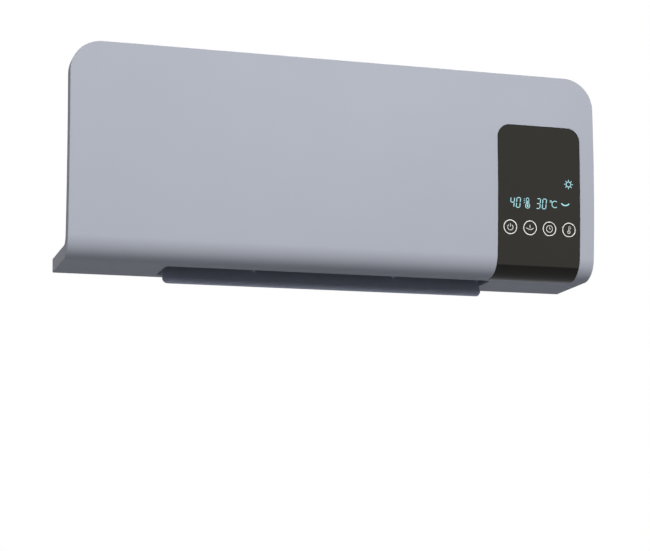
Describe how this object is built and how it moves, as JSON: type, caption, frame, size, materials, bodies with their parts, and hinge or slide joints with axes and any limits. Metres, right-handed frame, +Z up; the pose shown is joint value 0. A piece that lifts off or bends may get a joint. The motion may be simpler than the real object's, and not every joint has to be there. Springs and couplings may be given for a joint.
{
  "type": "electric wall heater",
  "caption": "Wall-hung electric fan heater: a pale bent front cover with a dark touch display, a flap louver in its underside and a housing that hooks on a wall plate.",
  "frame": {"origin": "centre of the wall plate's screw pattern, on the wall", "axes": "+X along the wall to the right as seen from the room, +Y into the wall, +Z up"},
  "size_m": [0.52, 0.0961, 0.2107],
  "materials": {
    "cover": "satin moulded",
    "lens": "glossy",
    "liner": "moulded",
    "housing": "fine grained",
    "grille": "moulded",
    "louver": "satin moulded",
    "guard": "moulded",
    "fan": "moulded",
    "duct": "zinc plated",
    "shaft": "ground",
    "screw": "zinc plated",
    "motor": "dull",
    "rubber": "matte",
    "bronze": "sintered",
    "fins": "bare",
    "contact": "bare",
    "cap": "moulded",
    "cutout": "moulded",
    "bearing": "moulded",
    "board": "lacquered",
    "component": "moulded",
    "transformer": "taped",
    "ribbon": "smooth",
    "plug": "moulded",
    "switch": "moulded",
    "gland": "moulded",
    "plate": "zinc plated"
  },
  "bodies": {
    "bracket": {"wall_plate": "plate"},
    "heater": {"front_cover": "cover", "display_lens": "lens", "cover_liner": "liner", "display_board": "board", "digit_display": "component", "touch_posts": "contact", "display_screws": "screw", "infrared_receiver": "component", "buzzer": "component", "rear_housing": "housing", "cover_screws": "screw", "housing_screws": "screw", "intake_grille": "grille", "scroll_wall": "duct", "tongue_wall": "duct", "right_cheek": "duct", "left_cheek": "duct", "cheek_screws": "screw", "fan_motor": "motor", "motor_mounts": "rubber", "motor_screws": "screw", "fan_bearing": "bronze", "bearing_boot": "rubber", "heater_fins": "fins", "heating_bars": "fins", "heater_terminals": "contact", "heater_caps": "cap", "thermal_cutout": "cutout", "outlet_guard": "guard", "louver_clips": "bearing", "louver_bush": "bearing", "louver_motor": "motor", "louver_motor_screws": "screw", "power_board": "board", "power_board_screws": "screw", "relays": "component", "transformer": "transformer", "terminal_block": "plug", "capacitor": "component", "display_ribbon": "ribbon", "ribbon_plugs": "plug", "switch_body": "switch", "cable_gland": "gland", "gland_nut": "gland", "air_sensor": "component"},
    "fan": {"fan_wheel": "fan", "motor_shaft": "shaft", "fan_stub": "shaft"},
    "louver": {"louver": "louver", "louver_shaft": "shaft"},
    "rocker": {"switch_rocker": "switch"}
  },
  "joints": [
    {"name": "heater_lift", "type": "slide", "parent": "bracket", "child": "heater", "axis": [0, 0, 1], "range_m": [0, 0.01]},
    {"name": "fan_spin", "type": "hinge", "parent": "heater", "child": "fan", "pos_m": [0, -0.042, -0.008], "axis": [1, 0, 0], "continuous": true},
    {"name": "louver_swing", "type": "hinge", "parent": "heater", "child": "louver", "pos_m": [0, -0.034, -0.118], "axis": [1, 0, 0], "range_deg": [-64, 26]},
    {"name": "switch_rock", "type": "hinge", "parent": "heater", "child": "rocker", "pos_m": [0.238, -0.052, -0.068], "axis": [0, 1, 0], "range_deg": [-18, 0]}
  ]
}
